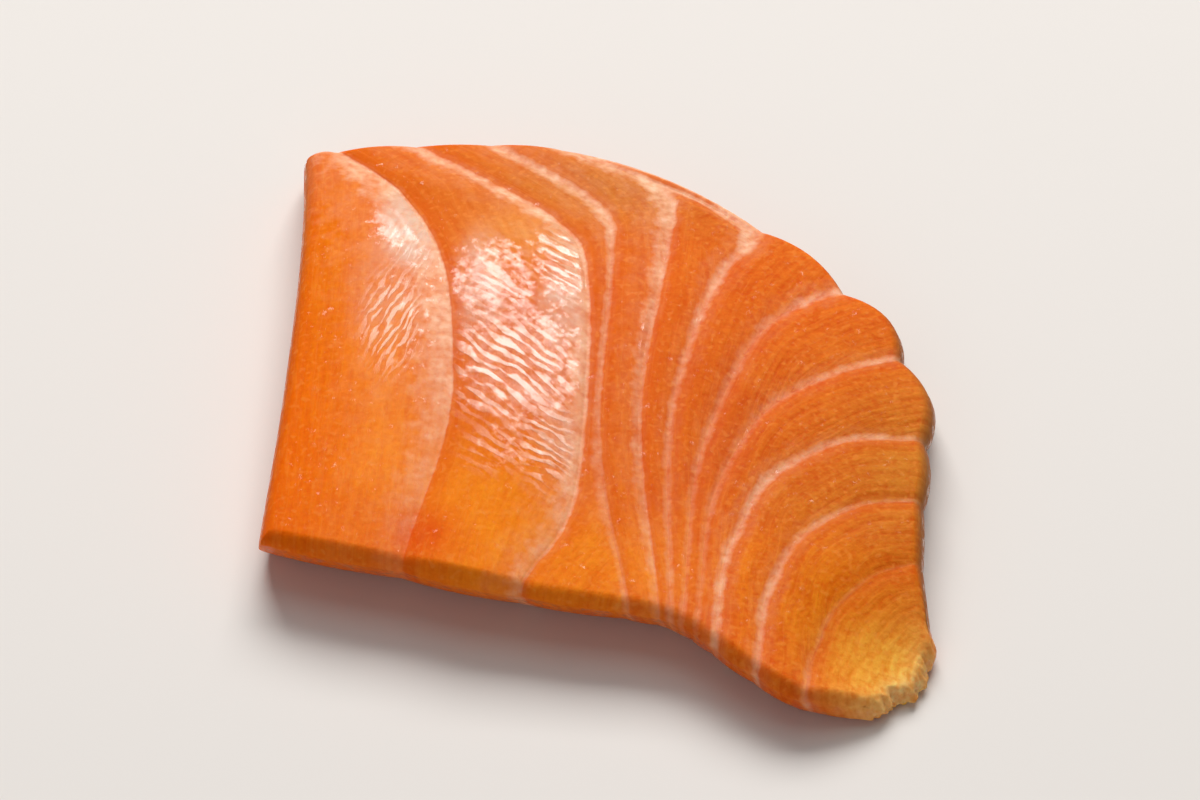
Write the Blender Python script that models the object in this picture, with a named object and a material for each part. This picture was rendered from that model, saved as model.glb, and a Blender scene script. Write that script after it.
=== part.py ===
# A slice of raw salmon for sashimi, lying flat with its cut face up.
#
# The slice is one solid. Its cut face shows the muscle as blocks, divided by seams of fat that run
# from the front edge to the back edge or to the skin side. So the whole form is a loft across those
# seams: each block swells between its two seams, and bulges between two notches at the skin side.
#
# +X runs across the slice to its ragged end, +Y from the front edge to the back, +Z up.
# The origin is the middle of the footprint, on the surface that the slice lies on.

import bmesh
import bpy
import numpy as np
from mathutils.kdtree import KDTree

MM = 0.001
COLLECTION = "salmon_sashimi"
NODE = "salmon_slice"

# Each row is one seam on the cut face, in mm: its foot at the front edge, its waist, the two sides
# of its knee, and its head at the back edge or the skin side. The first row is the slice's straight
# cut end, and the last is its ragged end.
SEAMS = np.array([
    [(-23.9, -11.8), (-22.4, 4.0), (-21.7, 16.0), (-21.6, 20.0), (-21.7, 27.4)],
    [(-13.9, -14.7), (-10.6, 3.0), (-12.4, 17.4), (-14.2, 21.4), (-19.6, 27.9)],
    [(-5.6, -17.0), (-1.4, -5.5), (-1.1, 13.6), (-1.8, 16.8), (-14.0, 28.2)],
    [(1.9, -18.3), (-0.1, -1.0), (0.8, 15.8), (0.6, 19.2), (-8.3, 28.3)],
    [(4.1, -18.8), (3.0, 1.5), (5.0, 17.4), (5.3, 21.6), (-3.6, 28.0)],
    [(4.9, -19.1), (5.5, 2.0), (9.2, 14.7), (10.8, 17.4), (12.0, 19.4)],
    [(5.7, -19.6), (7.9, -1.5), (12.8, 9.9), (14.9, 11.7), (17.8, 13.2)],
    [(6.7, -20.2), (8.9, -5.6), (13.8, 2.4), (16.6, 4.4), (21.7, 6.6)],
    [(8.0, -21.3), (9.6, -11.6), (13.6, -4.6), (16.6, -2.5), (23.2, -1.6)],
    [(10.9, -23.7), (12.2, -15.7), (15.3, -10.4), (17.6, -8.7), (22.8, -7.6)],
    [(14.2, -25.5), (15.2, -20.8), (17.1, -16.6), (18.7, -14.9), (22.6, -13.2)],
    [(18.9, -24.9), (21.3, -22.9), (22.9, -20.8), (23.3, -19.9), (23.0, -17.6)],
])
STATIONS = np.array([0.0, 0.45, 0.72, 0.80, 1.0])  # how far along a seam its five points lie
LAST_BLOCK = len(SEAMS) - 2

# One value for each block, from the straight end to the ragged end
HEAD_BOW = np.array([0.3, 0.1, 0.1, 0.1, 1.4, 1.0, 1.6, 1.4, 0.4, 0.1, 0.0])
FOOT_BOW = np.array([0.3, 0.3, 0.2, 0.1, 0.0, 0.0, 0.0, 0.1, 0.2, 0.3, 0.1])
MOST_SWELL = np.array([0.45, 0.55, 0.20, 0.25, 0.30, 0.32, 0.32, 0.32, 0.30, 0.28, 0.22])
COLUMNS = (8, 8, 3, 4, 5, 4, 4, 4, 4, 4, 6)  # columns of faces across the block
SWELL_PER_WIDTH = 0.09  # a narrow stretch of a block swells less

THICKNESS_EDGE = 4.4
THICKNESS_CROWN = 7.6
CROWN_AT = (-8.0, 9.0)
CROWN_REACH = (24.0, 26.0)
RAGGED_CORNER = (22.0, -23.0)
RAGGED_REACH = 7.0  # how near the ragged corner the slice thins and its wall stands upright
RAGGED_THINNING = 0.66
RAGGED_TOOTH = 0.30  # depth of the torn edge's teeth
TEETH = ((14.0, 0.3, 1.0), (29.0, 1.1, 0.5))  # rate, start and size of each wave of the torn edge
TEETH_POINT = np.array([0.94, -0.34])  # the direction that the teeth point in
TEETH_FADE = 3  # a higher power keeps the teeth nearer the torn edge

TOP_ROUNDING = 0.8  # radius of the soft edge round the cut face
BOTTOM_ROUNDING = 0.5
BOTTOM_FADE = 6  # a higher power keeps the rounding nearer the underside
MOST_ROUNDING = 0.3  # the rounding above takes up at most this share of the thickness
WALL_BULGE = 0.3
SLANT = 0.80  # how far back the side walls lean for each mm down, from the slanting knife cut
BOW_ROUNDNESS = 0.8  # under 1 makes the bulge between two notches fuller
SWELL_ROUNDNESS = 0.6  # the same for the swell between two seams
HEAD_REACH = 0.3  # share of a seam, from its head, over which the bulge there fades out
FOOT_REACH = 0.2  # the same at its foot

ROWS = 44
ROW_CROWDING = 0.65  # draws the rows together at the front and back, where the edge is round
COLUMN_CROWDING = 1.6  # draws the outer columns together at both ends
WALL_LEVELS = (0.72, 0.42, 0.14, 0.0)  # heights of the rings of the side wall, as shares of it
OUTLINE_STEPS = 400  # points on each of the outline's four sides
OUTLINE_SPACING = 0.08  # mm between the outline's points, once they are spaced evenly
NORMAL_REACH = 10  # the outward direction is evened out over this many points to either side
SMALL_STEP = 0.001  # the step along a seam that gives its direction

FLESH_COLOUR = (0.85, 0.20, 0.035, 1.0)
FLESH_ROUGHNESS = 0.35


def seam_points(along):
    """Every seam's points at the given shares of its length, as seams x points x 2."""
    widths = np.diff(STATIONS)
    slopes = np.diff(SEAMS, axis=1) / widths[:, None]
    inner = slopes[:, 1:] * widths[:-1, None] + slopes[:, :-1] * widths[1:, None]
    inner /= (widths[:-1] + widths[1:])[:, None]
    tangents = np.concatenate([slopes[:, :1], inner, slopes[:, -1:]], axis=1)
    piece = np.clip(np.searchsorted(STATIONS, along, side="right") - 1, 0, len(widths) - 1)
    width = widths[piece][:, None]
    t = ((along - STATIONS[piece]) / widths[piece])[:, None]
    start, end = SEAMS[:, piece], SEAMS[:, piece + 1]
    start_pull, end_pull = tangents[:, piece] * width, tangents[:, piece + 1] * width
    return (
        start * (2 * t**3 - 3 * t**2 + 1)
        + start_pull * (t**3 - 2 * t**2 + t)
        + end * (3 * t**2 - 2 * t**3)
        + end_pull * (t**3 - t**2)
    )


def block_and_share(across):
    """The block that a place across the seams lies in, and how far across the block it is."""
    block = np.clip(np.floor(across).astype(int), 0, LAST_BLOCK)
    return block, across - block


def arch(share, roundness):
    """Rises from 0 at one seam to 1 at mid block, and falls to 0 at the next seam."""
    return np.sin(np.pi * np.clip(share, 0, 1)) ** roundness


def bow(ends, block, depth, share):
    """How far a block's edge stands out to the left of the straight line between its two seams."""
    chord = ends[block + 1] - ends[block]
    left = np.column_stack([-chord[:, 1], chord[:, 0]])
    left /= np.linalg.norm(left, axis=1)[:, None]
    return left * (depth[block] * arch(share, BOW_ROUNDNESS))[:, None]


def teeth(across, along):
    """The torn edge's teeth, which fade out within the last block and at both of its ends."""
    torn = np.clip(across - LAST_BLOCK, 0, 1) ** TEETH_FADE * np.sin(np.pi * along)
    wave = sum(size * np.sin(rate * along + start) for rate, start, size in TEETH)
    return TEETH_POINT * (RAGGED_TOOTH * torn * wave)[:, None]


def plan_points(across, along):
    """Points of the cut face in plan, from a place across the seams and a place along them."""
    block, share = block_and_share(across)
    seams = seam_points(along)
    point = np.arange(len(along))
    before, after = seams[block, point], seams[block + 1, point]
    near_head = np.clip(1 - (1 - along) / HEAD_REACH, 0, 1) ** 2
    near_foot = np.clip(1 - along / FOOT_REACH, 0, 1) ** 2
    plan = before + (after - before) * share[:, None]
    plan += bow(SEAMS[:, -1], block, HEAD_BOW, share) * near_head[:, None]
    plan -= bow(SEAMS[:, 0], block, FOOT_BOW, share) * near_foot[:, None]
    return plan + teeth(across, along)


def block_width(across, along):
    """The width between the two seams on either side, measured square to the seam before."""
    block, _ = block_and_share(across)
    point = np.arange(len(along))
    seams = seam_points(along)
    ahead = seam_points(along + SMALL_STEP) - seam_points(along - SMALL_STEP)
    ahead = ahead[block, point]
    ahead /= np.linalg.norm(ahead, axis=1)[:, None]
    over = seams[block + 1, point] - seams[block, point]
    return np.abs(over[:, 0] * ahead[:, 1] - over[:, 1] * ahead[:, 0])


def outline_points():
    """The cut face's outline as evenly spaced points, anticlockwise seen from above."""
    step = np.linspace(0, 1, OUTLINE_STEPS, endpoint=False)
    none, full, last = np.zeros(OUTLINE_STEPS), np.ones(OUTLINE_STEPS), LAST_BLOCK + 1
    front = plan_points(step * last, none)
    ragged_end = plan_points(full * last, step)
    back = plan_points((1 - step) * last, full)
    straight_end = plan_points(none, 1 - step)
    run = np.concatenate([front, ragged_end, back, straight_end, front[:1]])
    length = np.concatenate([[0.0], np.cumsum(np.linalg.norm(np.diff(run, axis=0), axis=1))])
    even = np.arange(0, length[-1], OUTLINE_SPACING)
    return np.column_stack([np.interp(even, length, run[:, axis]) for axis in (0, 1)])


def outward_normals(outline):
    """The outward direction at each point of the outline, evened out over its neighbours."""
    tangents = np.roll(outline, -NORMAL_REACH, axis=0) - np.roll(outline, NORMAL_REACH, axis=0)
    normals = np.column_stack([tangents[:, 1], -tangents[:, 0]])
    return normals / np.linalg.norm(normals, axis=1)[:, None]


def nearest(points, outline):
    """For each point, the index of the nearest outline point and the distance to it."""
    tree = KDTree(len(outline))
    for index, (x, y) in enumerate(outline):
        tree.insert((x, y, 0.0), index)
    tree.balance()
    found = [tree.find((x, y, 0.0)) for x, y in points]
    return np.array([hit[1] for hit in found]), np.array([hit[2] for hit in found])


def fade_from(centre, reach, plan):
    """Falls from 1 at the centre to almost 0 at twice the reach, in mm."""
    return np.exp(-((((plan - np.array(centre)) / np.array(reach)) ** 2).sum(axis=1)))


def thickness(plan):
    """The slice's thickness in plan, before its blocks swell and its edges round off."""
    crown = (THICKNESS_CROWN - THICKNESS_EDGE) * fade_from(CROWN_AT, CROWN_REACH, plan)
    thinned = RAGGED_THINNING * fade_from(RAGGED_CORNER, RAGGED_REACH, plan)
    return (THICKNESS_EDGE + crown) * (1 - thinned)


def slice_points(across, along, level):
    """The solid's points. Level 1 is the cut face, and lower levels are rings of the side wall."""
    plan = plan_points(across, along)
    outline = outline_points()
    index, distance = nearest(plan, outline)
    on_edge = (along == 0) | (along == 1) | (across == 0) | (across == LAST_BLOCK + 1)
    distance[on_edge] = 0

    full = thickness(plan)
    rounding = np.minimum(TOP_ROUNDING, full * MOST_ROUNDING)
    wall_top = full - rounding
    block, share = block_and_share(across)
    most = np.minimum(MOST_SWELL[block], SWELL_PER_WIDTH * block_width(across, along))
    swell = most * arch(share, SWELL_ROUNDNESS)
    rise = 1 - np.clip(1 - distance / rounding, 0, 1) ** 2
    face_height = wall_top + rounding * np.sqrt(rise) + swell * rise

    out = WALL_BULGE * np.sin(np.pi * level)
    out -= BOTTOM_ROUNDING * (1 - level) ** BOTTOM_FADE
    wall_plan = plan + outward_normals(outline)[index] * out[:, None]
    slant = SLANT * (1 - fade_from(RAGGED_CORNER, RAGGED_REACH, plan))
    wall_plan[:, 1] += slant * wall_top * (1 - level)

    on_face = level == 1
    plan = np.where(on_face[:, None], plan, wall_plan)
    return np.column_stack([plan, np.where(on_face, face_height, wall_top * level)])


def columns_across():
    """Places across the seams, with the outer columns drawn together at both ends of the slice."""
    places = []
    for block, count in enumerate(COLUMNS):
        share = np.arange(count) / count
        if block == 0:
            share = share**COLUMN_CROWDING
        if block == LAST_BLOCK:
            share = 1 - (1 - share) ** COLUMN_CROWDING
        places.extend(block + share)
    return np.array(places + [LAST_BLOCK + 1])


def rows_along():
    """Places along the seams, drawn together at the front and the back."""
    even = np.linspace(0, 1, ROWS + 1)
    return even - ROW_CROWDING * np.sin(2 * np.pi * even) / (2 * np.pi)


def border_edges(grid):
    return [edge for edge in grid.edges if edge.is_boundary]


def build_slice():
    """A grid over the cut face, rings of wall below its border, and one flat face underneath.

    Until the last step a vertex's position holds its place across, its place along and its level.
    """
    across, along = columns_across(), rows_along()
    levels = np.array([1.0, *WALL_LEVELS])
    columns, rows = len(across) - 1, len(along) - 1
    grid = bmesh.new()
    bmesh.ops.create_grid(grid, x_segments=columns, y_segments=rows, size=0.5)
    for vertex in grid.verts:
        column, row = round((vertex.co.x + 0.5) * columns), round((vertex.co.y + 0.5) * rows)
        vertex.co = (column, row, 0)
    for ring, _ in enumerate(WALL_LEVELS, start=1):
        made = bmesh.ops.extrude_edge_only(grid, edges=border_edges(grid))["geom"]
        for vertex in (item for item in made if isinstance(item, bmesh.types.BMVert)):
            vertex.co.z = ring
    bmesh.ops.edgeloop_fill(grid, edges=border_edges(grid))

    place = np.array([vertex.co for vertex in grid.verts]).round().astype(int)
    points = slice_points(across[place[:, 0]], along[place[:, 1]], levels[place[:, 2]])
    footprint_middle = (points[:, :2].min(axis=0) + points[:, :2].max(axis=0)) / 2
    points[:, :2] -= footprint_middle
    for vertex, point in zip(grid.verts, points):
        vertex.co = point * MM
    bmesh.ops.recalc_face_normals(grid, faces=grid.faces)
    if grid.calc_volume(signed=True) < 0:
        bmesh.ops.reverse_faces(grid, faces=grid.faces)

    mesh = bpy.data.meshes.new(NODE)
    grid.to_mesh(mesh)
    grid.free()
    mesh.shade_smooth()
    return bpy.data.objects.new(NODE, mesh)


def flesh_material():
    """The wet orange flesh."""
    material = bpy.data.materials.new("salmon_flesh")
    material.use_nodes = True
    shader = material.node_tree.nodes["Principled BSDF"]
    shader.inputs["Base Color"].default_value = FLESH_COLOUR
    shader.inputs["Roughness"].default_value = FLESH_ROUGHNESS
    shader.inputs["Metallic"].default_value = 0.0
    return material


def main():
    for old in list(bpy.data.objects):
        bpy.data.objects.remove(old, do_unlink=True)
    collection = bpy.data.collections.new(COLLECTION)
    bpy.context.scene.collection.children.link(collection)
    salmon_slice = build_slice()
    salmon_slice.data.materials.append(flesh_material())
    collection.objects.link(salmon_slice)


main()
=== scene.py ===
# One slice of raw salmon for sashimi, cut face up, on a plain pale floor.

import math

import bpy
import numpy as np
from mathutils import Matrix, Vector, noise
from mathutils.kdtree import KDTree


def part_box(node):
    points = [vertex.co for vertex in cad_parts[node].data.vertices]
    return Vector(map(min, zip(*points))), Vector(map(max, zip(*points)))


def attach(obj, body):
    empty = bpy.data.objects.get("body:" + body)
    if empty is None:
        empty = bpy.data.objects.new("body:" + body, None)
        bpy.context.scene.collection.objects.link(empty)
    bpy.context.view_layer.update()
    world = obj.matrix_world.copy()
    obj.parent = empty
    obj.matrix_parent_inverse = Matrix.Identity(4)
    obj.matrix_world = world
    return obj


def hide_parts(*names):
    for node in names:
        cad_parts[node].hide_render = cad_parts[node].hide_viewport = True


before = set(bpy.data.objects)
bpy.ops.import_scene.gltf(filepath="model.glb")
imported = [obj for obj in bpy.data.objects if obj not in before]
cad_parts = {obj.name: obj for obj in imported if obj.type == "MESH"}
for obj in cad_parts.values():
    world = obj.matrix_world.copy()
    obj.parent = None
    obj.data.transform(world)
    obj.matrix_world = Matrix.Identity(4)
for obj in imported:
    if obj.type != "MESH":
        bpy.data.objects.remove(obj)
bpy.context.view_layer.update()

mm = 0.001
print("frame loaded")


# The slice's form, in mm. The seams are the sheets of fat between its muscle blocks.
sliceForm = {
    # foot at the front edge, waist, two sides of the knee, head at the back edge or skin side
    "seams": np.array([
        [(-23.9, -11.8), (-22.4, 4.0), (-21.7, 16.0), (-21.6, 20.0), (-21.7, 27.4)],
        [(-13.9, -14.7), (-10.6, 3.0), (-12.4, 17.4), (-14.2, 21.4), (-19.6, 27.9)],
        [(-5.6, -17.0), (-1.4, -5.5), (-1.1, 13.6), (-1.8, 16.8), (-14.0, 28.2)],
        [(1.9, -18.3), (-0.1, -1.0), (0.8, 15.8), (0.6, 19.2), (-8.3, 28.3)],
        [(4.1, -18.8), (3.0, 1.5), (5.0, 17.4), (5.3, 21.6), (-3.6, 28.0)],
        [(4.9, -19.1), (5.5, 2.0), (9.2, 14.7), (10.8, 17.4), (12.0, 19.4)],
        [(5.7, -19.6), (7.9, -1.5), (12.8, 9.9), (14.9, 11.7), (17.8, 13.2)],
        [(6.7, -20.2), (8.9, -5.6), (13.8, 2.4), (16.6, 4.4), (21.7, 6.6)],
        [(8.0, -21.3), (9.6, -11.6), (13.6, -4.6), (16.6, -2.5), (23.2, -1.6)],
        [(10.9, -23.7), (12.2, -15.7), (15.3, -10.4), (17.6, -8.7), (22.8, -7.6)],
        [(14.2, -25.5), (15.2, -20.8), (17.1, -16.6), (18.7, -14.9), (22.6, -13.2)],
        [(18.9, -24.9), (21.3, -22.9), (22.9, -20.8), (23.3, -19.9), (23.0, -17.6)],
    ]),
    "stations": np.array([0.0, 0.45, 0.72, 0.80, 1.0]),  # how far along a seam its points lie
    # one value for each block, from the straight cut end to the ragged end
    "headBow": np.array([0.3, 0.1, 0.1, 0.1, 1.4, 1.0, 1.6, 1.4, 0.4, 0.1, 0.0]),
    "footBow": np.array([0.3, 0.3, 0.2, 0.1, 0.0, 0.0, 0.0, 0.1, 0.2, 0.3, 0.1]),
    "headReach": 0.3,  # the share of a seam over which each bow fades out
    "footReach": 0.2,
    "mostSwell": np.array([0.45, 0.55, 0.20, 0.25, 0.30, 0.32, 0.32, 0.32, 0.30, 0.28, 0.22]),
    "swellPerWidth": 0.09,
    "bowRoundness": 0.8,
    "swellRoundness": 0.6,
    "thicknessEdge": 4.4,
    "thicknessCrown": 7.6,
    "crownAt": (-8.0, 9.0),
    "crownReach": (24.0, 26.0),
    "raggedCorner": (22.0, -23.0),
    "raggedReach": 7.0,
    "raggedThinning": 0.66,
    "raggedTooth": 0.30,  # how far the teeth stand out
    # the finest tatters of the ragged corner, and how far up the wall their pale colour starts
    "fringe": {
        "centre": (22.0, -23.5), "reach": 4.0, "size": 0.45, "depth": 0.45, "width": 0.8,
        "layers": 3.0, "paleFrom": 0.3,
    },
    "teeth": ((14.0, 0.3, 1.0), (29.0, 1.1, 0.5)),  # rate, start and size of each wave
    "teethPoint": np.array([0.94, -0.34]),
    "teethFade": 3,  # the power by which the teeth fade into their block
    "topRounding": 0.8,
    "mostRounding": 0.3,  # of the thickness
    "bottomRounding": 0.5,
    "bottomFade": 6,  # the power by which the lower rounding fades up the wall
    "wallBulge": 0.3,
    "slant": 0.80,
}
lastBlock = len(sliceForm["seams"]) - 2

# The mesh over that form. Columns go across each block, and the first two blocks have the most,
# because they carry the wrinkles.
sliceMesh = {
    "columns": (60, 75, 12, 12, 12, 15, 15, 15, 15, 15, 18),
    "rows": 234,
    "rowCrowding": 0.65,
    "columnCrowding": 1.3,
    "wallLevels": (0.9, 0.78, 0.64, 0.5, 0.37, 0.25, 0.15, 0.07, 0.02, 0.0),
    "underStep": 3,  # the flat underside keeps every third row and column
    "outlineSteps": 500,
    "outlineSpacing": 0.08,
    "normalReach": 10,
}

# Pale bands of fat, by the seam's number: how much of the band lies left of the seam, then the
# band's width in mm and its paleness at the five stations from foot to head.
fatBands = {
    1: (0.95, (3.6, 4.2, 4.0, 3.7, 3.2), (0.10, 0.58, 0.76, 1.00, 0.54)),
    2: (0.85, (1.8, 2.1, 2.1, 2.4, 2.3), (0.38, 0.72, 0.68, 0.88, 0.62)),
    3: (0.60, (0.8, 0.8, 1.0, 1.6, 1.8), (0.22, 0.30, 0.45, 0.85, 0.66)),
    4: (0.80, (1.0, 1.3, 2.0, 2.5, 1.8), (0.30, 0.38, 0.56, 0.92, 0.60)),
    5: (0.50, (0.9, 1.1, 1.5, 1.7, 1.5), (0.26, 0.30, 0.52, 0.72, 0.80)),
    6: (0.50, (0.8, 1.1, 1.5, 1.5, 1.3), (0.20, 0.20, 0.28, 0.48, 0.72)),
    7: (0.50, (0.8, 1.3, 1.4, 1.2, 0.9), (0.18, 0.20, 0.24, 0.34, 0.58)),
    8: (0.50, (1.1, 1.3, 1.4, 1.2, 0.7), (0.48, 0.62, 0.52, 0.34, 0.36)),
    9: (0.50, (1.0, 1.2, 1.1, 0.8, 0.6), (0.44, 0.48, 0.32, 0.18, 0.18)),
    10: (0.50, (0.9, 0.8, 0.6, 0.5, 0.4), (0.32, 0.14, 0.08, 0.06, 0.06)),
}
seamLean = 0.25  # how far a seam shifts across the slice for each mm down through it

# Colours of the flesh in its natural light, as 0 to 255, each fading out from a centre in mm
fleshBase = (228, 106, 24)
fleshZones = {
    # centre, reach, colour
    "upper": ((1.0, 23.0), (12.0, 5.0), (212, 118, 44)),
    "secondTop": ((-6.0, 17.0), (3.6, 3.2), (235, 142, 66)),
    "redMiddle": ((10.0, 0.0), (5.0, 9.0), (220, 100, 22)),
    "frontMiddle": ((2.0, -15.0), (9.0, 4.5), (246, 132, 24)),
    "frontLeft": ((-8.0, -11.0), (6.0, 7.0), (250, 138, 22)),
    "leftLow": ((-21.5, -2.0), (7.0, 16.0), (242, 110, 0)),
    "leftHigh": ((-20.0, 15.0), (6.0, 11.0), (236, 116, 4)),
    "firstFoot": ((-15.0, -5.0), (3.4, 6.0), (252, 134, 26)),
    "firstMiddle": ((-15.8, 4.0), (2.4, 6.0), (246, 130, 34)),
    "redSpot": ((-12.6, -12.4), (2.6, 2.4), (233, 92, 10)),
    "rightMiddle": ((14.0, -8.0), (3.5, 3.5), (224, 117, 32)),
    "rightRim": ((22.5, -5.0), (6.5, 11.0), (208, 117, 32)),
    "lowerRight": ((16.0, -17.0), (5.0, 5.0), (230, 120, 16)),
    # the ragged corner: its own pale yellow, brightened as painted light against the shade of its
    # downward lean
    "raggedCorner": ((21.0, -22.6), (4.8, 4.2), (255, 182, 64)),
}

# painted shade: the cut sides get a deeper, more saturated orange because they face away from the
# light
paintedWallShade = {"colour": (240, 102, 4), "strength": 0.6, "fullBy": 0.3}  # the cut sides, out of the light
# pale cream of the torn tatters, brightened as painted light shining through the thin flesh
fringeColour = (255, 202, 132)

# Fine wrinkles that the knife and the stretched flesh leave on the cut face, in mm and degrees
wrinkleSets = {
    # centre, reach, angle of the creases, pitch, height, blocks
    "slantedStreaks": ((-6.5, 3.0), (4.5, 6.5), -42.0, 1.10, 0.055, (1,)),
    "steepStreaks": ((-6.0, 13.0), (3.6, 6.0), -66.0, 1.40, 0.055, (1,)),
    "shortMarks": ((-15.2, 8.0), (1.8, 5.5), 62.0, 1.00, 0.030, (0,)),
    "kneeMarks": ((-13.6, 17.0), (2.0, 4.0), -62.0, 1.30, 0.035, (0,)),
    "rimMarks": ((-2.6, 14.5), (1.8, 3.4), -30.0, 1.10, 0.060, (1,)),
    "lowRimMarks": ((-3.6, -3.5), (1.8, 4.0), -28.0, 1.00, 0.060, (1,)),
}
# Noise pushes the creases out of step, in pitches, and leaves them in patches; sizes in mm
wrinkleNoise = {
    "drift": 0.55,
    "driftSize": 3.0,
    "driftSeed": 3.7,
    "patchMiddle": 0.55,
    "patchRange": 0.9,
    "patchSize": 1.6,
    "patchSeed": 12.7,
}
smoothMargin = 0.06  # the share of a block beside each seam that has no creases
fibreShift = 7.3  # sets each block's streaks apart from the next block's


def seamPoints(along):
    # every seam's points at the given shares of its length, as seams x points x 2
    seams, stations = sliceForm["seams"], sliceForm["stations"]
    widths = np.diff(stations)
    slopes = np.diff(seams, axis=1) / widths[:, None]
    inner = slopes[:, 1:] * widths[:-1, None] + slopes[:, :-1] * widths[1:, None]
    inner /= (widths[:-1] + widths[1:])[:, None]
    tangents = np.concatenate([slopes[:, :1], inner, slopes[:, -1:]], axis=1)
    piece = np.clip(np.searchsorted(stations, along, side="right") - 1, 0, len(widths) - 1)
    width = widths[piece][:, None]
    t = ((along - stations[piece]) / widths[piece])[:, None]
    return (
        seams[:, piece] * (2 * t**3 - 3 * t**2 + 1)
        + tangents[:, piece] * width * (t**3 - 2 * t**2 + t)
        + seams[:, piece + 1] * (3 * t**2 - 2 * t**3)
        + tangents[:, piece + 1] * width * (t**3 - t**2)
    )


def blockOf(across):
    return np.clip(np.floor(across).astype(int), 0, lastBlock)


def arch(share, roundness):
    # rises from 0 at one seam to 1 at mid block, and falls to 0 at the next seam
    return np.sin(np.pi * np.clip(share, 0, 1)) ** roundness


def bow(ends, block, depth, share):
    # how far a block's edge stands out from the straight line between its two seams
    chord = ends[block + 1] - ends[block]
    left = np.column_stack([-chord[:, 1], chord[:, 0]])
    left /= np.linalg.norm(left, axis=1)[:, None]
    return left * (depth[block] * arch(share, sliceForm["bowRoundness"]))[:, None]


def planPoints(across, along):
    # points of the cut face in plan, from a place across the seams and a place along them
    block = blockOf(across)
    share = across - block
    seams = seamPoints(along)
    point = np.arange(len(along))
    before, after = seams[block, point], seams[block + 1, point]
    plan = before + (after - before) * share[:, None]
    headReach, footReach = sliceForm["headReach"], sliceForm["footReach"]
    nearHead = np.clip((along - (1 - headReach)) / headReach, 0, 1) ** 2
    nearFoot = np.clip((footReach - along) / footReach, 0, 1) ** 2
    ends = sliceForm["seams"]
    plan += bow(ends[:, -1], block, sliceForm["headBow"], share) * nearHead[:, None]
    plan -= bow(ends[:, 0], block, sliceForm["footBow"], share) * nearFoot[:, None]
    torn = np.clip(across - lastBlock, 0, 1) ** sliceForm["teethFade"] * np.sin(np.pi * along)
    wave = sum(size * np.sin(rate * along + start) for rate, start, size in sliceForm["teeth"])
    return plan + sliceForm["teethPoint"] * (sliceForm["raggedTooth"] * torn * wave)[:, None]


def blockWidth(block, along):
    # the width between a block's two seams, square to the seam before
    step = 0.001
    point = np.arange(len(along))
    seams = seamPoints(along)
    ahead = (seamPoints(along + step) - seamPoints(along - step))[block, point]
    ahead /= np.linalg.norm(ahead, axis=1)[:, None]
    over = seams[block + 1, point] - seams[block, point]
    return np.abs(over[:, 0] * ahead[:, 1] - over[:, 1] * ahead[:, 0])


def outlinePoints():
    # the cut face's outline as evenly spaced points, anticlockwise seen from above
    count = sliceMesh["outlineSteps"]
    step = np.linspace(0, 1, count, endpoint=False)
    none, full, last = np.zeros(count), np.ones(count), lastBlock + 1
    front = planPoints(step * last, none)
    raggedEnd = planPoints(full * last, step)
    back = planPoints((1 - step) * last, full)
    straightEnd = planPoints(none, 1 - step)
    run = np.concatenate([front, raggedEnd, back, straightEnd, front[:1]])
    length = np.concatenate([[0.0], np.cumsum(np.linalg.norm(np.diff(run, axis=0), axis=1))])
    even = np.arange(0, length[-1], sliceMesh["outlineSpacing"])
    return np.column_stack([np.interp(even, length, run[:, axis]) for axis in (0, 1)])


def outwardNormals(outline):
    reach = sliceMesh["normalReach"]
    tangents = np.roll(outline, -reach, axis=0) - np.roll(outline, reach, axis=0)
    normals = np.column_stack([tangents[:, 1], -tangents[:, 0]])
    return normals / np.linalg.norm(normals, axis=1)[:, None]


def nearest(points, outline):
    # for each point, the index of the nearest outline point and the distance to it
    tree = KDTree(len(outline))
    for index, (x, y) in enumerate(outline):
        tree.insert((x, y, 0.0), index)
    tree.balance()
    found = [tree.find((x, y, 0.0)) for x, y in points]
    return np.array([hit[1] for hit in found]), np.array([hit[2] for hit in found])


def fadeFrom(centre, reach, plan):
    return np.exp(-((((plan - np.array(centre)) / np.array(reach)) ** 2).sum(axis=1)))


def raggedness(plan):
    return fadeFrom(sliceForm["raggedCorner"], sliceForm["raggedReach"], plan)


def thickness(plan):
    rise = sliceForm["thicknessCrown"] - sliceForm["thicknessEdge"]
    crown = rise * fadeFrom(sliceForm["crownAt"], sliceForm["crownReach"], plan)
    thinning = sliceForm["raggedThinning"] * raggedness(plan)
    return (sliceForm["thicknessEdge"] + crown) * (1 - thinning)


def noiseAt(plan, size, seed):
    # smooth noise from about -1 to 1, in patches of the given size in mm
    return np.array([noise.noise(Vector((x / size, y / size, seed))) for x, y in plan])


def wrinkles(plan, across):
    # height of the fine creases on the cut face
    by = wrinkleNoise
    height = np.zeros(len(plan))
    drift = by["drift"] * noiseAt(plan, by["driftSize"], by["driftSeed"])
    patches = by["patchRange"] * noiseAt(plan, by["patchSize"], by["patchSeed"])
    patchy = np.clip(by["patchMiddle"] + patches, 0, 1)
    for centre, reach, angle, pitch, tall, blocks in wrinkleSets.values():
        here = np.isin(blockOf(across), blocks) * fadeFrom(centre, reach, plan) * patchy
        turn = math.radians(angle)
        over = -plan[:, 0] * math.sin(turn) + plan[:, 1] * math.cos(turn)
        height += tall * here * np.sin(2 * np.pi * (over / pitch + drift))
    return height * edgeFade(across)


def edgeFade(across):
    # keeps the creases off the seams on either side of their block
    share = across - blockOf(across)
    return np.clip(np.minimum(share, 1 - share) / smoothMargin, 0, 1)


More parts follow.
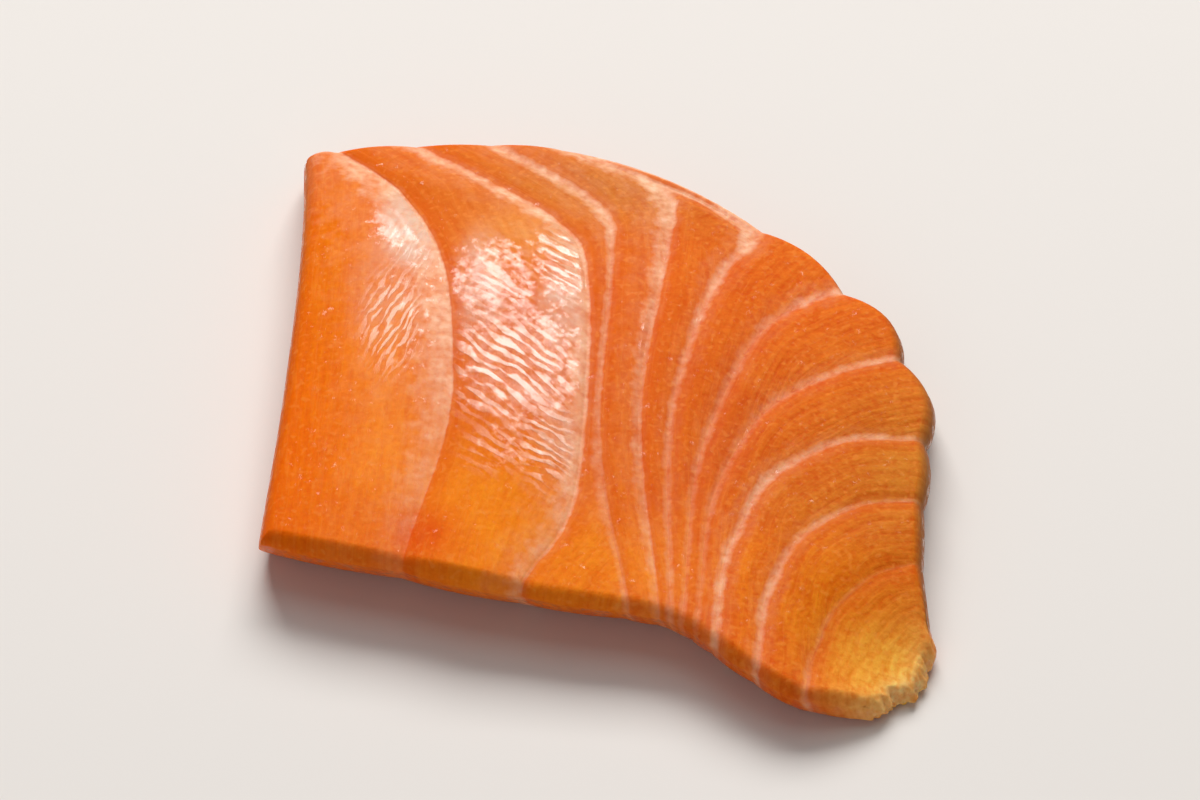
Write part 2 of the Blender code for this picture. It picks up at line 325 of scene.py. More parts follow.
def slicePoints(across, along, level):
    # the solid's points: level 1 is the cut face, and lower levels are rings of the side wall
    plan = planPoints(across, along)
    outline = outlinePoints()
    index, distance = nearest(plan, outline)
    outward = outwardNormals(outline)[index]
    onEdge = (along == 0) | (along == 1) | (across == 0) | (across == lastBlock + 1)
    distance[onEdge] = 0

    full = thickness(plan)
    tatter = fringe(plan, level, distance)
    rounding = np.minimum(sliceForm["topRounding"], full * sliceForm["mostRounding"])
    wallTop = full - rounding
    block = blockOf(across)
    swell = np.minimum(
        sliceForm["mostSwell"][block], sliceForm["swellPerWidth"] * blockWidth(block, along)
    )
    rise = 1 - np.clip(1 - distance / rounding, 0, 1) ** 2
    relief = swell * arch(across - block, sliceForm["swellRoundness"]) + wrinkles(plan, across)
    faceHeight = wallTop + rounding * np.sqrt(rise) + relief * rise

    out = sliceForm["wallBulge"] * np.sin(np.pi * level)
    out -= sliceForm["bottomRounding"] * (1 - level) ** sliceForm["bottomFade"]
    wallPlan = plan + outward * out[:, None]
    wallPlan[:, 1] += sliceForm["slant"] * (1 - raggedness(plan)) * wallTop * (1 - level)

    onFace = level == 1
    solid = np.where(onFace[:, None], plan, wallPlan) + outward * tatter
    height = np.where(onFace, faceHeight, wallTop * level)
    return np.column_stack([solid, height]), plan, full, distance


def fringe(plan, level, distance):
    # how far the torn corner's tatters stand out from the rim
    torn = sliceForm["fringe"]
    near = fadeFrom(torn["centre"], torn["reach"], plan)
    near *= np.clip(1 - distance / torn["width"], 0, 1)
    lifted = np.column_stack([plan / torn["size"], torn["layers"] * level])
    tatters = np.array([noise.noise(Vector(point)) for point in lifted])
    return (torn["depth"] * near * tatters)[:, None]


def columnsAcross():
    places = []
    for block, count in enumerate(sliceMesh["columns"]):
        share = np.arange(count) / count
        if block == 0:
            share = share ** sliceMesh["columnCrowding"]
        if block == lastBlock:
            share = 1 - (1 - share) ** sliceMesh["columnCrowding"]
        places.extend(block + share)
    return np.array(places + [lastBlock + 1])


def rowsAlong():
    even = np.linspace(0, 1, sliceMesh["rows"] + 1)
    return even - sliceMesh["rowCrowding"] * np.sin(2 * np.pi * even) / (2 * np.pi)


def borderRun(grid):
    # the numbers round a grid's border, anticlockwise from its first corner
    return np.concatenate([grid[0, :-1], grid[:-1, -1], grid[-1, :0:-1], grid[:0:-1, 0]])


def quads(rows):
    # faces between each row of vertex numbers and the next
    corners = [rows[:-1, :-1], rows[:-1, 1:], rows[1:, 1:], rows[1:, :-1]]
    return np.stack(corners, axis=-1).reshape(-1, 4).tolist()


def sideOf(grid, start, end):
    # the numbers from one lattice place up to, not with, another on the same row or column
    (row, column), (endRow, endColumn) = start, end
    steps = max(abs(endRow - row), abs(endColumn - column))
    onRim = (
        row == endRow and row in (0, grid.shape[0] - 1)
        or column == endColumn and column in (0, grid.shape[1] - 1)
    )
    places = range(steps) if onRim else range(1)
    rowStep, columnStep = np.sign(endRow - row), np.sign(endColumn - column)
    return [int(grid[row + rowStep * i, column + columnStep * i]) for i in places]


def underFaces(grid):
    # coarse faces under the slice, whose outer sides take in every vertex of the rim
    step = sliceMesh["underStep"]
    faces = []
    for row in range(0, grid.shape[0] - 1, step):
        for column in range(0, grid.shape[1] - 1, step):
            far, right = row + step, column + step
            corners = [(row, column), (far, column), (far, right), (row, right)]
            face = []
            for start, end in zip(corners, corners[1:] + corners[:1]):
                face += sideOf(grid, start, end)
            faces.append(face)
    return faces


def bandAt(seam, along, column):
    # a band's width or paleness along its seam; the two cut ends have none
    values = np.zeros(len(along))
    for number, band in fatBands.items():
        here = seam == number
        values[here] = np.interp(along[here], sliceForm["stations"], band[column])
    return values


def leftShare(seam):
    # how much of a seam's band lies left of its line; half where there is no band
    shares = np.full(lastBlock + 2, 0.5)
    for number, band in fatBands.items():
        shares[number] = band[0]
    return shares[seam]


def linear(colour):
    # a colour given as 0 to 255 on screen, as Blender's linear numbers
    share = np.array(colour, float) / 255
    return np.where(share <= 0.04045, share / 12.92, ((share + 0.055) / 1.055) ** 2.4)


def zoneColours(plan, level, distance):
    colours = np.tile(linear(fleshBase), (len(plan), 1))
    for centre, reach, colour in fleshZones.values():
        share = fadeFrom(centre, reach, plan)[:, None]
        colours += (linear(colour) - colours) * share
    torn = sliceForm["fringe"]
    pale = fadeFrom(torn["centre"], torn["reach"], plan) * np.exp(-distance / torn["width"])
    # painted shade on the side walls, left off the torn fringe
    side = paintedWallShade["strength"] * np.clip((1 - level) / paintedWallShade["fullBy"], 0, 1) * (1 - pale)
    # the fringe's pale colour, partly painted light shining through the thin flesh
    onFringe = pale * (level > torn["paleFrom"])
    for share, colour in ((side, paintedWallShade["colour"]), (onFringe, fringeColour)):
        colours += (linear(colour) - colours) * share[:, None]
    return colours


def setVectors(mesh, name, domain, values):
    attribute = mesh.attributes.new(name, "FLOAT_VECTOR", domain)
    attribute.data.foreach_set("vector", np.ascontiguousarray(values, np.float32).ravel())


def makeSlice():
    across, along = columnsAcross(), rowsAlong()
    rowCount, columnCount = len(along), len(across)
    face = np.arange(rowCount * columnCount).reshape(rowCount, columnCount)
    rim = borderRun(face)
    levels = np.array(sliceMesh["wallLevels"])
    column = np.tile(np.arange(columnCount), rowCount)
    row = np.repeat(np.arange(rowCount), columnCount)

    # the wall's rings come after the cut face's vertices, and the underside's inner ones last
    ringStart = len(row)
    rings = ringStart + np.arange(len(levels) * len(rim)).reshape(len(levels), len(rim))
    under = np.full(face.shape, -1)
    under[row[rim], column[rim]] = rings[-1]
    step = sliceMesh["underStep"]
    inner = np.zeros(face.shape, bool)
    inner[step:-step:step, step:-step:step] = True
    under[inner] = rings[-1, -1] + 1 + np.arange(inner.sum())

    columns = np.concatenate([column, np.tile(column[rim], len(levels)), np.nonzero(inner)[1]])
    rows = np.concatenate([row, np.tile(row[rim], len(levels)), np.nonzero(inner)[0]])
    level = np.concatenate([np.ones(len(row)), np.repeat(levels, len(rim)), np.zeros(inner.sum())])
    places, lies = across[columns], along[rows]
    points, plan, full, distance = slicePoints(places, lies, level)

    low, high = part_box("salmon_slice")
    middle = (points.min(axis=0) + points.max(axis=0)) / 2
    points = points * mm
    points[:, 0] += (low.x + high.x) / 2 - middle[0] * mm
    points[:, 1] += (low.y + high.y) / 2 - middle[1] * mm

    loops = np.concatenate([rim[None, :], rings])
    loops = np.concatenate([loops, loops[:, :1]], axis=1)
    faces = quads(face) + quads(loops[::-1]) + underFaces(under)
    mesh = bpy.data.meshes.new("salmonSlice")
    mesh.from_pydata(points.tolist(), [], faces)
    mesh.shade_smooth()
    addPattern(mesh, faces, places, lies, plan, full, level, distance)
    return bpy.data.objects.new("salmonSlice", mesh)


def addPattern(mesh, faces, places, lies, plan, full, level, distance):
    # what the material reads: places in mm past and before the seams, the flesh's colour, where
    # the film, the skin and the painted glare haze lie, and where the strokes do
    corner = np.concatenate([np.array(f) for f in faces])
    faceOf = np.repeat(np.arange(len(faces)), [len(f) for f in faces])
    sums = np.bincount(faceOf, places[corner])
    block = blockOf(sums / np.bincount(faceOf))[faceOf]
    share = np.clip(places[corner] - block, 0, 1)
    where = lies[corner]
    width = blockWidth(block, where)
    lean = seamLean * full[corner] * (1 - level[corner])
    past = share * width - lean
    before = (1 - share) * width + lean
    pastShare = np.where(past < 0, leftShare(block), 1 - leftShare(block))
    pastReach = bandAt(block, where, 1) * pastShare
    beforeReach = bandAt(block + 1, where, 1) * leftShare(block + 1)
    lengths = np.linalg.norm(np.diff(sliceForm["seams"], axis=1), axis=2).sum(axis=1)
    bandPast = [past, pastReach, bandAt(block, where, 2)]
    bandBefore = [before, beforeReach, bandAt(block + 1, where, 2)]
    fibres = [past, where * lengths[block], block * fibreShift]
    setVectors(mesh, "bandPast", "CORNER", np.column_stack(bandPast))
    setVectors(mesh, "bandBefore", "CORNER", np.column_stack(bandBefore))
    setVectors(mesh, "fibres", "CORNER", np.column_stack(fibres))
    setVectors(mesh, "fleshColour", "POINT", zoneColours(plan, level, distance))
    film = [wetFilm(plan, places, level), skinSide(places, lies), hazeAndGlareAt(plan, places, level)]
    setVectors(mesh, "film", "POINT", np.column_stack(film))
    setVectors(mesh, "strokes", "POINT", strokePlaces(plan, places, level))


# Where the cut face is wettest, in mm: centre, reach, block, wetness
wetPatches = {
    "firstBlock": ((-13.2, 12.0), (2.2, 10.0), 0, 0.26),
    "firstKnee": ((-14.4, 19.4), (2.2, 4.0), 0, 0.95),
    "secondBlockTop": ((-7.6, 11.7), (3.5, 4.3), 1, 0.68),
    "secondBlock": ((-5.5, 3.5), (4.8, 6.5), 1, 0.66),
    "secondBlockLow": ((-6.0, -4.5), (3.4, 3.2), 1, 0.34),
    "secondKnee": ((-2.6, 14.5), (2.2, 5.0), 1, 0.90),
    "fourthSeam": ((3.2, 4.0), (0.5, 5.0), 3, 0.60),
}
wetElsewhere = -0.05  # below 0, so that only the strongest noise leaves a glint
wetSides = 0.42

# Where the flesh gets a pale haze, in the same way: painted glare of the light on the wet film, partly
# pale fat
hazeAndGlarePatches = {
    "firstKnee": ((-13.8, 18.0), (2.2, 5.0), 0, 1.25),
    "firstMiddle": ((-15.4, 11.5), (2.6, 6.5), 0, 0.34),
    "secondUpper": ((-8.6, 11.0), (2.0, 6.0), 1, 0.72),
    "secondRim": ((-2.9, 9.0), (1.6, 4.5), 1, 1.0),
    "secondRimLow": ((-2.9, -3.2), (1.3, 3.2), 1, 0.5),
    "secondMiddle": ((-5.6, 5.0), (4.4, 7.5), 1, 0.32),
}

# Where fine strokes break up the film and paint pale glare on it, partly as white fibres: centre,
# reach, block and strength of each, by kind
strokeSets = {
    "slanted": (
        ((-6.5, 3.0), (4.8, 5.0), 1, 1.0),
        ((-7.5, 11.0), (3.0, 5.0), 1, 0.5),
        ((-7.0, -4.5), (2.6, 2.6), 1, 0.45),
    ),
    "comb": (((-3.7, -4.0), (1.9, 4.2), 1, 1.0), ((-2.4, 14.0), (1.8, 4.6), 1, 1.0)),
    "rungs": (((-15.0, 8.0), (2.0, 5.0), 0, 1.0), ((-13.6, 17.5), (2.2, 5.0), 0, 0.5)),
}


def patchAt(plan, places, patch):
    # a flat-topped patch that lies in one block only
    centre, reach, block, strength = patch
    away = (((plan - np.array(centre)) / np.array(reach)) ** 2).sum(axis=1)
    return strength * np.exp(-(away**2)) * (blockOf(places) == block)


def strongestOf(patches, plan, places, least):
    # the strongest patch at each point, and the least value where there is none
    for patch in patches:
        least = np.maximum(least, patchAt(plan, places, patch))
    return least


def wetFilm(plan, places, level):
    wet = np.where(level < 1, wetSides, wetElsewhere)
    return strongestOf(wetPatches.values(), plan, places, wet)


def hazeAndGlareAt(plan, places, level):
    return strongestOf(hazeAndGlarePatches.values(), plan, places, 0.0) * (level == 1)


def strokePlaces(plan, places, level):
    onFace = edgeFade(places) * (level == 1)
    kinds = [strongestOf(patches, plan, places, 0.0) for patches in strokeSets.values()]
    return np.column_stack([here * onFace for here in kinds])


# The brownish line that the skin leaves along the scalloped side
skinLine = {"firstPlace": 4.0, "fullPlace": 6.0, "depth": 0.026}


def skinSide(places, lies):
    first, full = skinLine["firstPlace"], skinLine["fullPlace"]
    across = np.clip((places - first) / (full - first), 0, 1)
    return across * np.clip(1 - (1 - lies) / skinLine["depth"], 0, 1)


def addNode(tree, kind, inputs=None, **settings):
    made = tree.nodes.new(kind)
    for name, value in settings.items():
        setattr(made, name, value)
    for key, value in (inputs or {}).items():
        if isinstance(value, bpy.types.NodeSocket):
            tree.links.new(value, made.inputs[key])
        else:
            made.inputs[key].default_value = value
    return made


def maths(tree, operation, first, second=0.0, third=0.0):
    return addNode(
        tree, "ShaderNodeMath", {0: first, 1: second, 2: third}, operation=operation
    ).outputs[0]


def mixColours(tree, factor, first, second):
    # the colour sockets of the mixing node are its inputs 6 and 7 and its output 2
    return addNode(
        tree, "ShaderNodeMix", {0: factor, 6: first, 7: second}, data_type="RGBA"
    ).outputs[2]


def parts(tree, vector):
    return addNode(tree, "ShaderNodeSeparateXYZ", {0: vector}).outputs


def newGroup(name, inputs, outputs):
    tree = bpy.data.node_groups.new(name, "ShaderNodeTree")
    for label, kind in inputs.items():
        tree.interface.new_socket(name=label, in_out="INPUT", socket_type=kind)
    for label, kind in outputs.items():
        tree.interface.new_socket(name=label, in_out="OUTPUT", socket_type=kind)
    return tree, tree.nodes.new("NodeGroupInput").outputs, tree.nodes.new("NodeGroupOutput").inputs


def fade(tree, value, full, none):
    # 1 up to the value called full, easing down or up to 0 at the value called none
    return addNode(
        tree, "ShaderNodeMapRange",
        {"Value": value, "From Min": none, "From Max": full}, interpolation_type="SMOOTHSTEP",
    ).outputs[0]


def noiseNode(tree, vector, scale, detail=2.0, roughness=0.5):
    return addNode(
        tree, "ShaderNodeTexNoise",
        {"Vector": vector, "Scale": scale, "Detail": detail, "Roughness": roughness},
    ).outputs["Fac"]


def placeGroup(tree, group, inputs):
    return addNode(tree, "ShaderNodeGroup", inputs, node_tree=group).outputs["Mask"]


# A band's parts as shares of its reach, and how pale its halo is beside its core
bandLook = {"leastReach": 0.02, "core": 0.12, "haloReach": 2.4, "halo": 0.14}


def fatBandGroup():
    # a pale band: a core along its seam, and a faint halo that fades out past its reach
    number = "NodeSocketFloat"
    tree, given, result = newGroup(
        "fatBand", {"Distance": number, "Reach": number, "Paleness": number, "Wobble": number},
        {"Mask": number},
    )
    distance = maths(tree, "ABSOLUTE", given["Distance"])
    reach = maths(tree, "MULTIPLY", given["Reach"], maths(tree, "ADD", given["Wobble"], 1.0))
    reach = maths(tree, "MAXIMUM", reach, bandLook["leastReach"])
    core = fade(tree, distance, maths(tree, "MULTIPLY", reach, bandLook["core"]), reach)
    halo = fade(tree, distance, reach, maths(tree, "MULTIPLY", reach, bandLook["haloReach"]))
    halo = maths(tree, "MULTIPLY", halo, bandLook["halo"])
    mask = maths(tree, "MAXIMUM", core, halo)
    tree.links.new(maths(tree, "MULTIPLY", mask, given["Paleness"]), result["Mask"])
    return tree


strokeLook = {  # angle in degrees, pitch and length in mm
    "slanted": (-44.0, 0.80, 1.9),
    "comb": (-28.0, 0.72, 1.2),
    "rungs": (66.0, 0.56, 1.3),
}
# Noise pushes the strokes out of step and breaks them up: scale, detail and roughness, then how far
strokeNoise = {
    "drift": (0.35, 2.0, 0.5),
    "driftBy": 3.0,
    "breaks": (0.8, 2.0, 0.6),
    "breaksBy": 7.0,
    "edges": (0.9, -0.3),  # the wave's heights where a stroke is full and where it ends
}


def strokeGroup():
    # fine strokes at an angle: a wave that noise pushes out of step and breaks up
    number, vector = "NodeSocketFloat", "NodeSocketVector"
    tree, given, result = newGroup(
        "strokes", {"Place": vector, "Angle": number, "Pitch": number, "Length": number},
        {"Mask": number},
    )
    turned = addNode(
        tree, "ShaderNodeVectorRotate",
        {"Vector": given["Place"], "Angle": maths(tree, "MULTIPLY", given["Angle"], -1.0)},
        rotation_type="Z_AXIS",
    ).outputs[0]
    along, over, _ = parts(tree, turned)
    over = maths(tree, "DIVIDE", over, given["Pitch"])
    along = maths(tree, "DIVIDE", along, given["Length"])
    spread = addNode(tree, "ShaderNodeCombineXYZ", {0: along, 1: over}).outputs[0]
    drift = noiseNode(tree, spread, *strokeNoise["drift"])
    breaks = noiseNode(tree, spread, *strokeNoise["breaks"])
    turn = maths(tree, "MULTIPLY_ADD", drift, strokeNoise["driftBy"], over)
    wave = maths(tree, "SINE", maths(tree, "MULTIPLY", turn, 2 * math.pi))
    by = strokeNoise["breaksBy"]
    wave = maths(tree, "ADD", wave, maths(tree, "MULTIPLY_ADD", breaks, by, -by / 2))
    tree.links.new(fade(tree, wave, *strokeNoise["edges"]), result["Mask"])
    return tree


# The look of the flesh
fleshLook = {
    # scale in patches for each mm, detail and roughness of each noise
    "noises": {
        "wobble": (0.9, 3.0, 0.5),
        "streaks": (1.0, 3.0, 0.5),
        "grain": (2.2, 2.0, 0.6),
        "mottle": (0.28, 2.0, 0.5),
        "vein": (1.0, 3.0, 0.5),
        "fleck": (2.3, 0.0, 0.5),
        "spot": (1.7, 1.0, 0.5),
        "hazeAndGlare": (0.7, 4.0, 0.6),
        "blotch": (0.55, 3.0, 0.6),
        "torn": (1.3, 4.0, 0.65),
        "sparkle": (2.9, 0.0, 0.5),
    },
    # the noise's values where each mark is full and where it ends
    "edges": {"fleck": (0.80, 0.58), "spot": (0.34, 0.45), "sparkle": (0.86, 0.70)},
    "sides": (-6.0, 12.0),  # in mm across: a pair of values below passes from one to the other
    "fat": (255, 203, 166),
    "bandWobble": 1.6,
    "patches": ((0.45, 0.50, 1.18), (1.7, 0.56, 1.24)),  # scale, lowest and highest share of fat
    "streakStretch": (2.0, 0.20, 1.0),
    # how far streaks, grain and mottling reach from the darkest to the palest tone
    "shares": (0.40, 0.38, 0.22),
    "contrast": (1.0, 1.7),  # on the left, and on the skin side
    "darkTone": (0.90, 0.70, 0.45),
    "paleTone": (1.08, 1.26, 1.45),
    # painted shade: the deeper, redder colour of the groove just past each seam
    "grooveShade": (222, 84, 14),
    "grooveShadeStrength": 0.40,
    "grooveShadeReach": (0.15, 1.7),  # in mm past a seam: where it is full and where it ends
    "grooveShadeFrom": -0.02,
    "faint": (252, 158, 72),
    "veinStretch": (0.8, 0.08, 1.0),
    "veinWidth": 0.035,
    "veinStrength": 0.11,
    "fleckStrength": 0.24,
    "spotTone": (0.94, 0.66, 0.45),
    "spotShares": (0.10, 0.45),  # on the left, and on the skin side
    # painted highlight: the strokes' pale colour stands for glare on their fine creases, partly for
    # white fibres
    "stroke": (255, 214, 184),
    "strokeGlareStrength": 0.36,
    # painted highlight: the pale haze colour stands for glare on the wet film, partly for pale fat
    "hazeAndGlare": (234, 202, 182),
    "hazeAndGlareStrength": 0.55,
    "hazeAndGlareShares": (0.25, 1.25),
    "skin": (150, 98, 52),
    "skinStrength": 0.7,
    "blotchShares": (0.45, 1.25),
    "tornBy": 2.2,  # how far noise eats into the wet film
    "filmEdges": (0.78, 0.27),  # where the film is full and where it ends
    "fatGloss": 0.09,
    "sparkle": 0.08,
    "markGloss": 0.35,
    "gapFilm": 0.25,  # the share of the film that stays between strokes
    "roughness": (0.50, 0.30),  # dry, and under the film
    "coat": (0.0, 0.88),
    "coatRoughness": 0.13,
    "coatIor": 1.68,
    "specularLevel": 0.03,
    "subsurface": 0.18,
    "subsurfaceRadius": (1.0, 0.30, 0.12),
    "subsurfaceScale": 0.0012,
    "ior": 1.38,
    "bumpDepth": 0.11,  # in mm
    "bumpStrength": 0.8,
    "bumpShares": {"streaks": 0.38, "grain": 0.22, "fat": 0.3, "mark": 0.45},
}


def fleshMaterial():
    look = fleshLook
    material = bpy.data.materials.new("salmonFlesh")
    material.use_nodes = True
    tree = material.node_tree
    shader = tree.nodes["Principled BSDF"]

    def attribute(name):
        return addNode(tree, "ShaderNodeAttribute", attribute_name=name).outputs["Vector"]

    def scaled(vector, stretch):
        return addNode(
            tree, "ShaderNodeVectorMath", {0: vector, 1: stretch}, operation="MULTIPLY"
        ).outputs[0]

    def ranged(value, low, high, fromLow=0.3, fromHigh=0.7):
        # most of a noise lies between 0.3 and 0.7
        return addNode(
            tree, "ShaderNodeMapRange",
            {"Value": value, "From Min": fromLow, "From Max": fromHigh, "To Min": low, "To Max": high},
        ).outputs[0]

    def product(first, second):
        return maths(tree, "MULTIPLY", first, second)

    def tint(colour, factor, paint):
        return mixColours(tree, factor, colour, (*linear(paint), 1.0))

    def noiseOf(name, vector):
        return noiseNode(tree, vector, *look["noises"][name])

    place = scaled(addNode(tree, "ShaderNodeTexCoord").outputs["Object"], (1 / mm,) * 3)
    fibres = attribute("fibres")
    far = parts(tree, place)[0]

    # the pale bands on both sides of a seam
    wobble = maths(tree, "SUBTRACT", noiseOf("wobble", place), 0.5)
    wobble = product(wobble, look["bandWobble"])
    band = fatBandGroup()
    masks, distances = [], []
    for name in ("bandPast", "bandBefore"):
        distance, reach, paleness = parts(tree, attribute(name))
        given = {"Distance": distance, "Reach": reach, "Paleness": paleness, "Wobble": wobble}
        masks.append(placeGroup(tree, band, given))
        distances.append(distance)
    fat = maths(tree, "MAXIMUM", *masks)
    for scale, low, high in look["patches"]:
        fat = product(fat, ranged(noiseNode(tree, place, scale), low, high))
    fat = maths(tree, "MINIMUM", fat, 1.0)

    # streaks, grain and mottling of the flesh
    streaks = ranged(noiseOf("streaks", scaled(fibres, look["streakStretch"])), 0.0, 1.0)
    grain = ranged(noiseOf("grain", place), 0.0, 1.0)
    mottle = ranged(noiseOf("mottle", place), 0.0, 1.0)
    shade = 0.0
    for value, share in zip((streaks, grain, mottle), look["shares"]):
        shade = maths(tree, "MULTIPLY_ADD", value, share, shade)
    contrast = ranged(far, *look["contrast"], *look["sides"])
    shade = maths(tree, "MULTIPLY_ADD", maths(tree, "SUBTRACT", shade, 0.5), contrast, 0.5)
    tone = mixColours(tree, shade, (*look["darkTone"], 1.0), (*look["paleTone"], 1.0))
    colour = scaled(attribute("fleshColour"), tone)

    # painted shade in the groove past each seam, as a deeper, redder line; then veins, flecks and
    # spots
    past = maths(tree, "GREATER_THAN", distances[0], look["grooveShadeFrom"])
    grooveShade = product(fade(tree, distances[0], *look["grooveShadeReach"]), past)
    colour = tint(colour, product(grooveShade, look["grooveShadeStrength"]), look["grooveShade"])
    vein = noiseOf("vein", scaled(fibres, look["veinStretch"]))
    vein = maths(tree, "ABSOLUTE", maths(tree, "SUBTRACT", vein, 0.5))
    vein = product(fade(tree, vein, 0.0, look["veinWidth"]), look["veinStrength"])
    fleck = fade(tree, noiseOf("fleck", place), *look["edges"]["fleck"])
    faint = maths(tree, "MAXIMUM", vein, product(fleck, look["fleckStrength"]))
    spot = fade(tree, noiseOf("spot", place), *look["edges"]["spot"])
    spot = product(spot, ranged(far, *look["spotShares"], *look["sides"]))
    colour = scaled(colour, mixColours(tree, spot, (1.0,) * 4, (*look["spotTone"], 1.0)))
    colour = tint(tint(colour, faint, look["faint"]), fat, look["fat"])

    # the strokes, and the gaps between them
    stroke = strokeGroup()
    marks, gaps = [], []
    for here, (angle, pitch, length) in zip(parts(tree, attribute("strokes")), strokeLook.values()):
        given = {"Place": place, "Angle": math.radians(angle), "Pitch": pitch, "Length": length}
        mask = placeGroup(tree, stroke, given)
        marks.append(product(here, mask))
        gaps.append(product(here, maths(tree, "SUBTRACT", 1.0, mask)))
    mark, gap = marks[0], gaps[0]
    for extraMark, extraGap in zip(marks[1:], gaps[1:]):
        mark = maths(tree, "MAXIMUM", mark, extraMark)
        gap = maths(tree, "MAXIMUM", gap, extraGap)
    # painted highlight: pale strokes for the glare on the creases, partly white fibres
    colour = tint(colour, product(mark, look["strokeGlareStrength"]), look["stroke"])

    wet, skin, hazeAndGlare = parts(tree, attribute("film"))
    # painted highlight: a pale haze that stands for glare on the wet film, partly for pale fat
    hazeAndGlare = product(hazeAndGlare, ranged(noiseOf("hazeAndGlare", place), *look["hazeAndGlareShares"]))
    colour = tint(colour, product(hazeAndGlare, look["hazeAndGlareStrength"]), look["hazeAndGlare"])
    colour = tint(colour, product(skin, look["skinStrength"]), look["skin"])
    tree.links.new(colour, shader.inputs["Base Color"])

    # the wet film, torn at its edges, with strokes and small glints
    blotch = ranged(noiseOf("blotch", place), *look["blotchShares"])
    torn = maths(tree, "SUBTRACT", noiseOf("torn", place), 0.5)
    wet = maths(tree, "MULTIPLY_ADD", torn, look["tornBy"], wet)
    wet = product(fade(tree, wet, *look["filmEdges"]), blotch)
    wet = maths(tree, "MULTIPLY_ADD", fat, look["fatGloss"], wet)
    sparkle = fade(tree, noiseOf("sparkle", place), *look["edges"]["sparkle"])
    wet = maths(tree, "MULTIPLY_ADD", sparkle, look["sparkle"], wet)
    wet = product(wet, ranged(gap, 1.0, look["gapFilm"], 0.0, 1.0))
    wet = maths(tree, "MULTIPLY_ADD", mark, look["markGloss"], wet)
    rough = ranged(wet, *look["roughness"], 0.0, 1.0)
    coat = ranged(wet, *look["coat"], 0.0, 1.0)
    tree.links.new(rough, shader.inputs["Roughness"])
    tree.links.new(coat, shader.inputs["Coat Weight"])

    raised = {"streaks": streaks, "grain": grain, "fat": fat, "mark": mark}
    height = 0.0
    for name, value in raised.items():
        height = maths(tree, "MULTIPLY_ADD", value, look["bumpShares"][name], height)
    bump = addNode(
        tree, "ShaderNodeBump",
        {"Height": height, "Strength": look["bumpStrength"], "Distance": look["bumpDepth"] * mm},
    ).outputs["Normal"]
    tree.links.new(bump, shader.inputs["Normal"])

    shader.inputs["Coat Roughness"].default_value = look["coatRoughness"]
    shader.inputs["Coat IOR"].default_value = look["coatIor"]
    shader.inputs["IOR"].default_value = look["ior"]
    shader.inputs["Specular IOR Level"].default_value = look["specularLevel"]
    shader.inputs["Subsurface Weight"].default_value = look["subsurface"]
    shader.inputs["Subsurface Radius"].default_value = look["subsurfaceRadius"]
    shader.inputs["Subsurface Scale"].default_value = look["subsurfaceScale"]
    return material


salmonSlice = makeSlice()
bpy.context.scene.collection.objects.link(salmonSlice)
salmonSlice.data.materials.append(fleshMaterial())
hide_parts("salmon_slice")
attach(salmonSlice, "root")
print("slice made:", len(salmonSlice.data.polygons), "faces")


# The floor, lights and camera, in metres and degrees
studio = {
    "floorSize": 3.0,
    "floorColour": (225, 221, 216),
    "floorRoughness": 0.6,
    "worldColour": (0.95, 0.97, 1.0),
    "worldStrength": 0.15,
    # azimuth, elevation, distance, width, height, power in watts, colour
    "lights": {
        "behindSoftbox": (180.0, 47.0, 0.9, 0.72, 0.46, 8.6, (1.0, 0.97, 0.95)),
        "overhead": (170.0, 80.0, 0.9, 0.7, 0.7, 1.3, (1.0, 0.98, 0.96)),
        "frontFill": (-20.0, 30.0, 1.0, 0.9, 0.6, 1.3, (1.0, 1.0, 1.0)),
    },
    "cameraAzimuth": 0.0,
    "cameraElevation": 44.5,
    "cameraDistance": 0.57,
    "cameraLens": 237.0,
    "cameraTarget": (0.0, 0.001, 0.003),
}


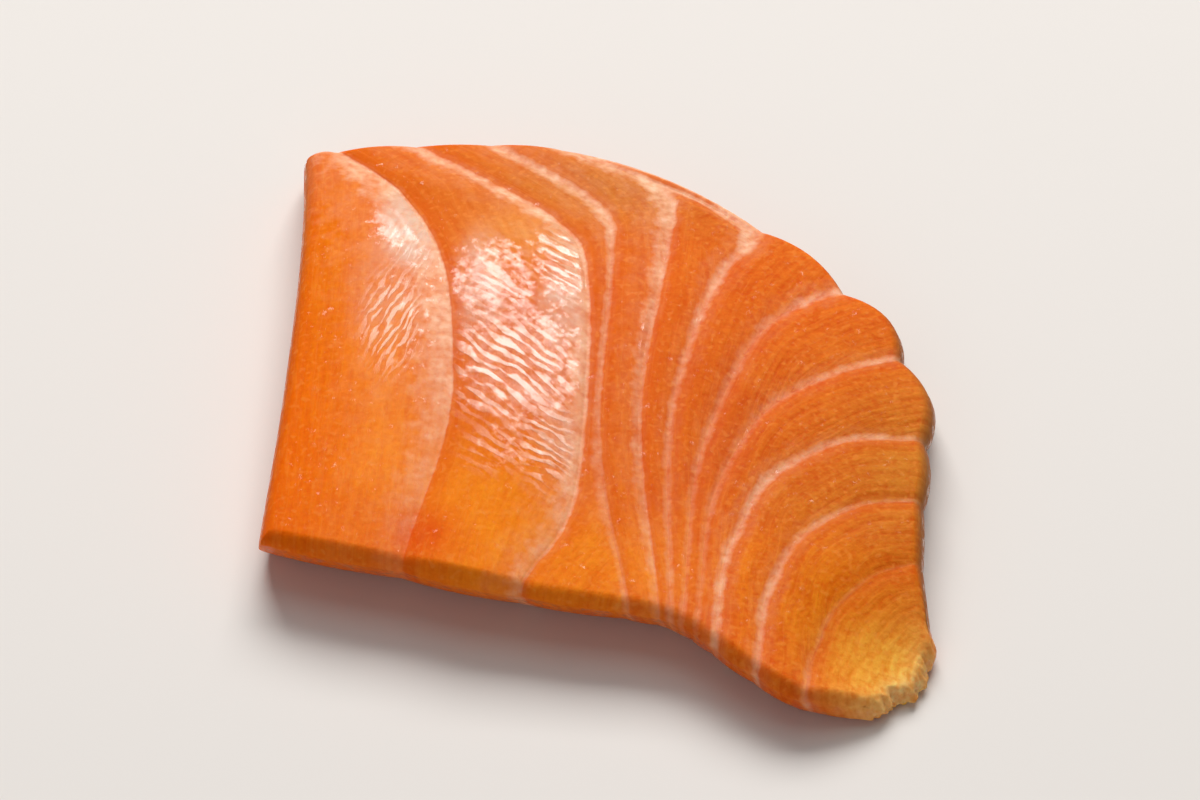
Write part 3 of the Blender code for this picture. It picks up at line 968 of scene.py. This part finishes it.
def directionTo(azimuth, elevation):
    # azimuth 0 is the front, where the camera is, and 180 is behind
    turn, lift = math.radians(azimuth), math.radians(elevation)
    return Vector((
        math.sin(turn) * math.cos(lift), -math.cos(turn) * math.cos(lift), math.sin(lift)
    ))


def makeFloor():
    half = studio["floorSize"] / 2
    mesh = bpy.data.meshes.new("floor")
    corners = [(-half, -half, 0), (half, -half, 0), (half, half, 0), (-half, half, 0)]
    mesh.from_pydata(corners, [], [(0, 1, 2, 3)])
    floor = bpy.data.objects.new("floor", mesh)
    material = bpy.data.materials.new("paleFloor")
    material.use_nodes = True
    shader = material.node_tree.nodes["Principled BSDF"]
    shader.inputs["Base Color"].default_value = (*linear(studio["floorColour"]), 1.0)
    shader.inputs["Roughness"].default_value = studio["floorRoughness"]
    mesh.materials.append(material)
    bpy.context.scene.collection.objects.link(floor)


def makeLights():
    world = bpy.data.worlds.new("softStudio")
    world.use_nodes = True
    background = world.node_tree.nodes["Background"]
    background.inputs["Color"].default_value = (*studio["worldColour"], 1.0)
    background.inputs["Strength"].default_value = studio["worldStrength"]
    bpy.context.scene.world = world
    for name, values in studio["lights"].items():
        azimuth, elevation, distance, width, height, power, colour = values
        light = bpy.data.lights.new(name, "AREA")
        light.shape = "RECTANGLE"
        light.size, light.size_y = width, height
        light.energy = power
        light.color = colour
        lamp = bpy.data.objects.new(name, light)
        lamp.location = directionTo(azimuth, elevation) * distance
        lamp.rotation_euler = directionTo(azimuth, elevation).to_track_quat("Z", "Y").to_euler()
        bpy.context.scene.collection.objects.link(lamp)


def makeCamera():
    camera = bpy.data.cameras.new("camera")
    camera.lens = studio["cameraLens"]
    camera.clip_start, camera.clip_end = 0.01, 20.0
    eye = bpy.data.objects.new("camera", camera)
    back = directionTo(studio["cameraAzimuth"], studio["cameraElevation"])
    eye.location = Vector(studio["cameraTarget"]) + back * studio["cameraDistance"]
    eye.rotation_euler = back.to_track_quat("Z", "Y").to_euler()
    bpy.context.scene.collection.objects.link(eye)
    bpy.context.scene.camera = eye


makeFloor()
makeLights()
makeCamera()
bpy.context.scene.view_settings.view_transform = "Standard"
print("studio made")
